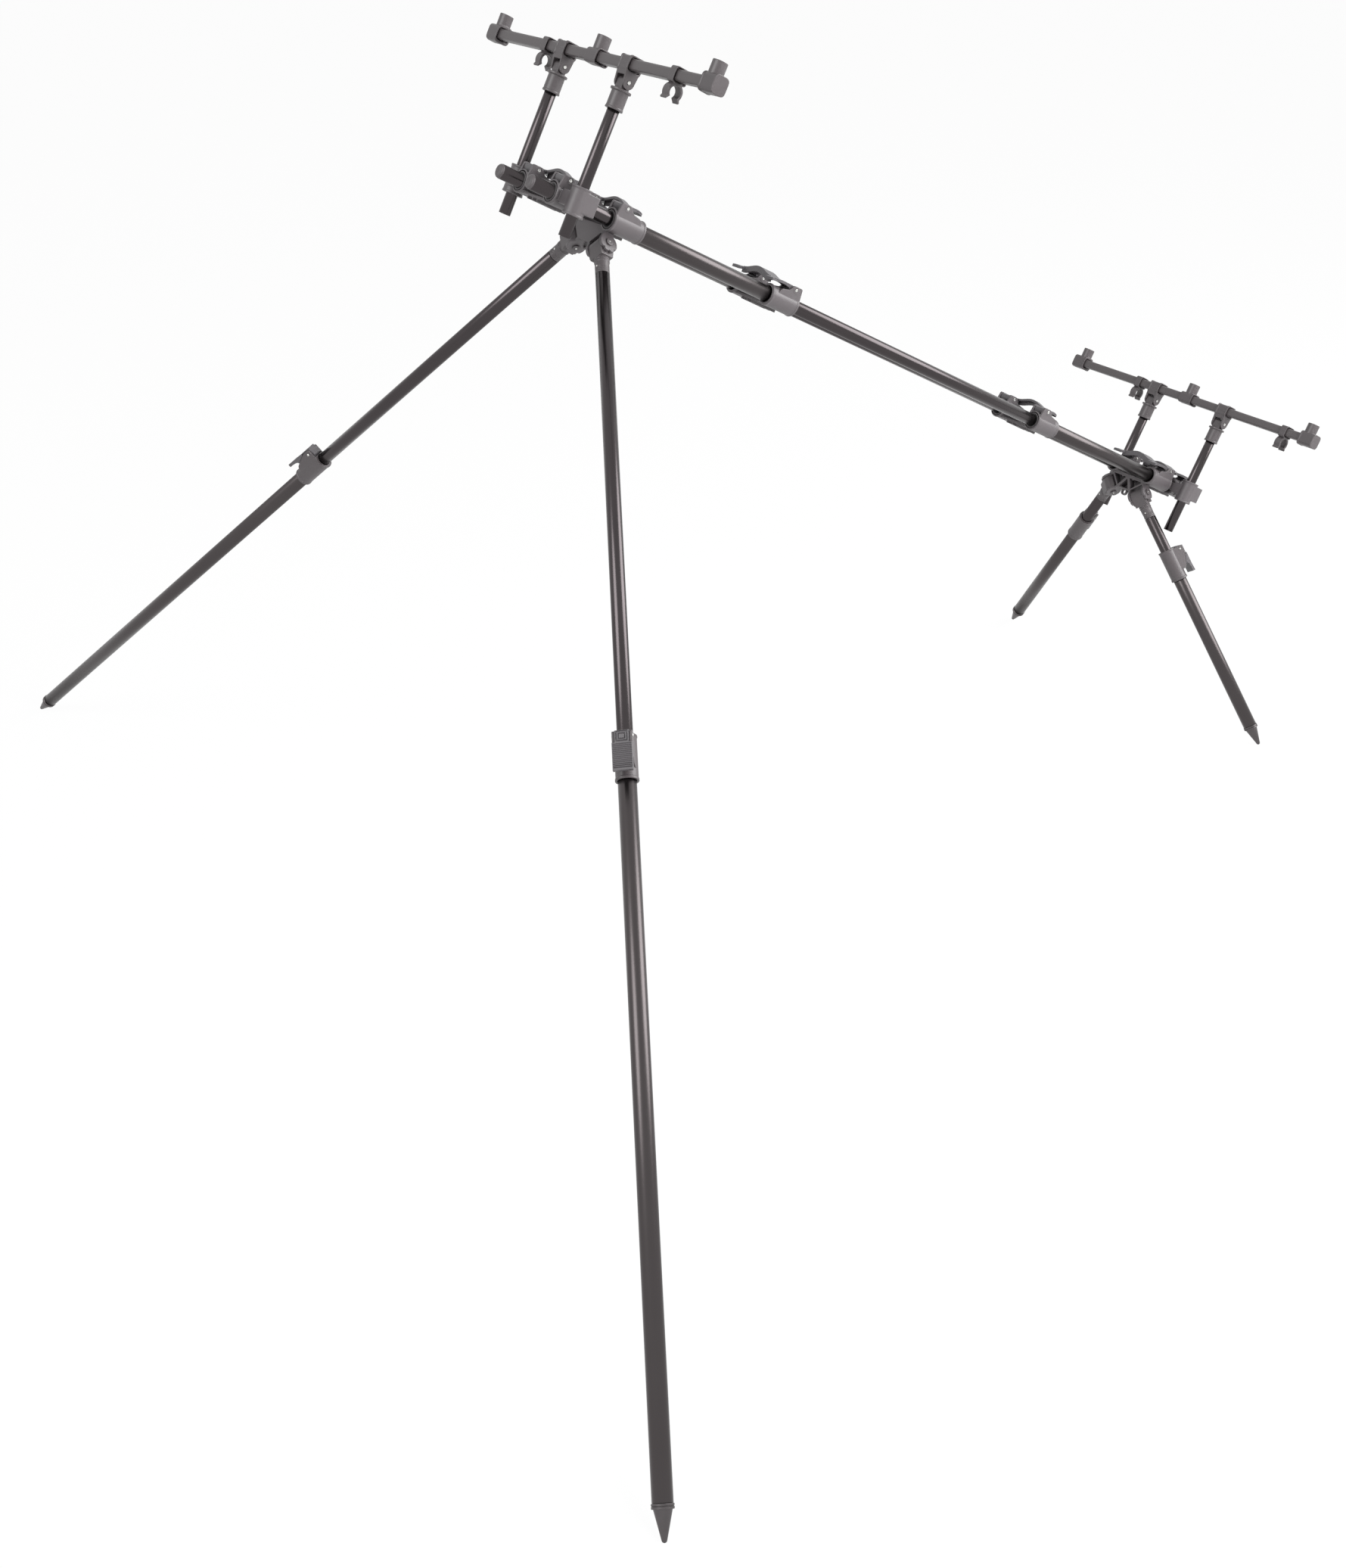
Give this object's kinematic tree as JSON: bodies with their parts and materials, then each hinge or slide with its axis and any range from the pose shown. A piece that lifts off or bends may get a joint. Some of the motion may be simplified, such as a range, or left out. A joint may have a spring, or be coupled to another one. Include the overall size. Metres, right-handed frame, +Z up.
{
  "type": "fishing rod pod",
  "caption": "Telescopic twin-rail fishing rod pod on splayed telescopic spike legs, with tilting crossbars on goalposts at both ends and cam-lever clamps.",
  "frame": {"origin": "centre of the bounding box in X and Y, on the ground under the spikes", "axes": "+Z up, +Y across the pod towards the far side of the picture, -X the raised front end, +X the low rear end; the rails slope down towards +X"},
  "size_m": [2.2964, 2.6902, 1.5452],
  "materials": {
    "outer_tube": "satin grey anodised",
    "inner_tube": "bright grey anodised",
    "clamp": "satin dark grey moulding",
    "lever": "satin dark grey moulding",
    "nylon": "matt dark grey nylon",
    "spike": "turned steel"
  },
  "bodies": {
    "chassis": {"front_near_outer_rail": "outer_tube", "front_far_outer_rail": "outer_tube", "front_hub": "clamp", "front_centre_clamp": "clamp"},
    "front_extension": {"front_near_inner_rail": "inner_tube", "front_far_inner_rail": "inner_tube"},
    "front_carriage": {"front_goalpost_clamp": "clamp"},
    "front_goalpost": {"front_near_upright": "inner_tube", "front_far_upright": "inner_tube"},
    "front_bar": {"front_crossbar": "outer_tube", "front_near_rod_head": "nylon", "front_far_rod_head": "nylon", "front_near_bar_clip": "nylon", "front_far_bar_clip": "nylon"},
    "centre_rails": {"centre_near_inner_rail": "inner_tube", "centre_far_inner_rail": "inner_tube"},
    "rear_chassis": {"rear_near_outer_rail": "outer_tube", "rear_far_outer_rail": "outer_tube", "rear_centre_clamp": "clamp", "rear_hub": "clamp"},
    "rear_extension": {"rear_near_inner_rail": "inner_tube", "rear_far_inner_rail": "inner_tube"},
    "rear_carriage": {"rear_goalpost_clamp": "clamp"},
    "rear_goalpost": {"rear_near_upright": "inner_tube", "rear_far_upright": "inner_tube"},
    "rear_bar": {"rear_crossbar": "outer_tube", "rear_near_rod_head": "nylon", "rear_far_rod_head": "nylon", "rear_near_bar_clip": "nylon", "rear_far_bar_clip": "nylon"},
    "front_goalpost_lever": {"front_goalpost_lever": "lever"},
    "front_hub_lever": {"front_hub_lever": "lever"},
    "front_centre_lever": {"front_centre_lever": "lever"},
    "rear_centre_lever": {"rear_centre_lever": "lever"},
    "rear_hub_lever": {"rear_hub_lever": "lever"},
    "rear_goalpost_lever": {"rear_goalpost_lever": "lever"},
    "front_near_leg": {"front_near_knuckle": "nylon", "front_near_upper_tube": "inner_tube"},
    "front_near_leg_extension": {"front_near_lower_tube": "outer_tube", "front_near_lock_housing": "nylon", "front_near_spike": "spike"},
    "front_near_lock": {"front_near_lock_lever": "lever"},
    "front_far_leg": {"front_far_knuckle": "nylon", "front_far_upper_tube": "inner_tube"},
    "front_far_leg_extension": {"front_far_lower_tube": "outer_tube", "front_far_lock_housing": "nylon", "front_far_spike": "spike"},
    "front_far_lock": {"front_far_lock_lever": "lever"},
    "rear_near_leg": {"rear_near_knuckle": "nylon", "rear_near_upper_tube": "inner_tube"},
    "rear_near_leg_extension": {"rear_near_lower_tube": "outer_tube", "rear_near_lock_housing": "nylon", "rear_near_spike": "spike"},
    "rear_near_lock": {"rear_near_lock_lever": "lever"},
    "rear_far_leg": {"rear_far_knuckle": "nylon", "rear_far_upper_tube": "inner_tube"},
    "rear_far_leg_extension": {"rear_far_lower_tube": "outer_tube", "rear_far_lock_housing": "nylon", "rear_far_spike": "spike"},
    "rear_far_lock": {"rear_far_lock_lever": "lever"}
  },
  "joints": [
    {"name": "front_extension_slide", "type": "slide", "parent": "chassis", "child": "front_extension", "axis": [-0.876, 0, 0.4822], "range_m": [-0.02, 0.06]},
    {"name": "front_carriage_slide", "type": "slide", "parent": "front_extension", "child": "front_carriage", "axis": [-0.876, 0, 0.4822], "range_m": [-0.02, 0.02]},
    {"name": "front_goalpost_height", "type": "slide", "parent": "front_carriage", "child": "front_goalpost", "axis": [0.4822, 0, 0.876], "range_m": [-0.095, 0.03]},
    {"name": "front_bar_tilt", "type": "hinge", "parent": "front_goalpost", "child": "front_bar", "pos_m": [-0.37416, 0, 1.48716], "axis": [0, 1, 0], "range_deg": [-45, 45]},
    {"name": "centre_slide", "type": "slide", "parent": "chassis", "child": "centre_rails", "axis": [0.876, 0, -0.4822], "range_m": [-0.13, 0.08]},
    {"name": "rear_chassis_slide", "type": "slide", "parent": "centre_rails", "child": "rear_chassis", "axis": [0.876, 0, -0.4822], "range_m": [-0.1, 0.08]},
    {"name": "rear_extension_slide", "type": "slide", "parent": "rear_chassis", "child": "rear_extension", "axis": [0.876, 0, -0.4822], "range_m": [0, 0.07]},
    {"name": "rear_carriage_slide", "type": "slide", "parent": "rear_extension", "child": "rear_carriage", "axis": [0.876, 0, -0.4822], "range_m": [0, 0.01]},
    {"name": "rear_goalpost_height", "type": "slide", "parent": "rear_carriage", "child": "rear_goalpost", "axis": [0.4822, 0, 0.876], "range_m": [-0.004, 0.06]},
    {"name": "rear_bar_tilt", "type": "hinge", "parent": "rear_goalpost", "child": "rear_bar", "pos_m": [1.10894, 0, 0.63541], "axis": [0, 1, 0], "range_deg": [-45, 45]},
    {"name": "front_goalpost_lever_open", "type": "hinge", "parent": "front_carriage", "child": "front_goalpost_lever", "pos_m": [-0.45946, 0, 1.34463], "axis": [0, -1, 0], "range_deg": [0, 105]},
    {"name": "front_hub_lever_open", "type": "hinge", "parent": "chassis", "child": "front_hub_lever", "pos_m": [-0.35478, 0, 1.28701], "axis": [0, -1, 0], "range_deg": [0, 105]},
    {"name": "front_centre_lever_open", "type": "hinge", "parent": "chassis", "child": "front_centre_lever", "pos_m": [-0.01443, 0, 1.09966], "axis": [0, 1, 0], "range_deg": [0, 105]},
    {"name": "rear_centre_lever_open", "type": "hinge", "parent": "rear_chassis", "child": "rear_centre_lever", "pos_m": [0.62421, 0, 0.74813], "axis": [0, -1, 0], "range_deg": [0, 105]},
    {"name": "rear_hub_lever_open", "type": "hinge", "parent": "rear_chassis", "child": "rear_hub_lever", "pos_m": [1.01055, 0, 0.53546], "axis": [0, 1, 0], "range_deg": [0, 105]},
    {"name": "rear_goalpost_lever_open", "type": "hinge", "parent": "rear_carriage", "child": "rear_goalpost_lever", "pos_m": [1.08063, 0, 0.49689], "axis": [0, 1, 0], "range_deg": [0, 105]},
    {"name": "front_near_leg_fold", "type": "hinge", "parent": "chassis", "child": "front_near_leg", "pos_m": [-0.3948, -0.043, 1.22571], "axis": [0.3239, -0.7408, 0.5885], "range_deg": [-10, 60]},
    {"name": "front_near_leg_slide", "type": "slide", "parent": "front_near_leg", "child": "front_near_leg_extension", "axis": [-0.3876, -0.6713, -0.6318], "range_m": [-0.78, 0.06]},
    {"name": "front_near_lock_open", "type": "hinge", "parent": "front_near_leg_extension", "child": "front_near_lock", "pos_m": [-0.74216, -0.63648, 0.6971], "axis": [-0.8029, 0.5826, -0.1265], "range_deg": [0, 100]},
    {"name": "front_far_leg_fold", "type": "hinge", "parent": "chassis", "child": "front_far_leg", "pos_m": [-0.3948, 0.043, 1.22571], "axis": [-0.3239, -0.7408, -0.5885], "range_deg": [-10, 60]},
    {"name": "front_far_leg_slide", "type": "slide", "parent": "front_far_leg", "child": "front_far_leg_extension", "axis": [-0.3876, 0.6713, -0.6318], "range_m": [-0.67, 0.06]},
    {"name": "front_far_lock_open", "type": "hinge", "parent": "front_far_leg_extension", "child": "front_far_lock", "pos_m": [-0.7003, 0.56398, 0.76532], "axis": [0.8029, 0.5826, 0.1265], "range_deg": [0, 100]},
    {"name": "rear_near_leg_fold", "type": "hinge", "parent": "rear_chassis", "child": "rear_near_leg", "pos_m": [0.94644, -0.043, 0.48743], "axis": [-0.3239, 0.7408, -0.5885], "range_deg": [0, 118]},
    {"name": "rear_near_leg_slide", "type": "slide", "parent": "rear_near_leg", "child": "rear_near_leg_extension", "axis": [0.1287, -0.5817, -0.8031], "range_m": [-0.02, 0.15]},
    {"name": "rear_near_lock_open", "type": "hinge", "parent": "rear_near_leg_extension", "child": "rear_near_lock", "pos_m": [0.98786, -0.13108, 0.38105], "axis": [-0.3543, -0.7834, 0.5106], "range_deg": [0, 100]},
    {"name": "rear_far_leg_fold", "type": "hinge", "parent": "rear_chassis", "child": "rear_far_leg", "pos_m": [0.94644, 0.043, 0.48743], "axis": [0.3239, 0.7408, 0.5885], "range_deg": [0, 118]},
    {"name": "rear_far_leg_slide", "type": "slide", "parent": "rear_far_leg", "child": "rear_far_leg_extension", "axis": [0.1287, 0.5817, -0.8031], "range_m": [0, 0.15]},
    {"name": "rear_far_lock_open", "type": "hinge", "parent": "rear_far_leg_extension", "child": "rear_far_lock", "pos_m": [0.98812, 0.13224, 0.37945], "axis": [0.3543, -0.7834, -0.5106], "range_deg": [0, 100]}
  ]
}
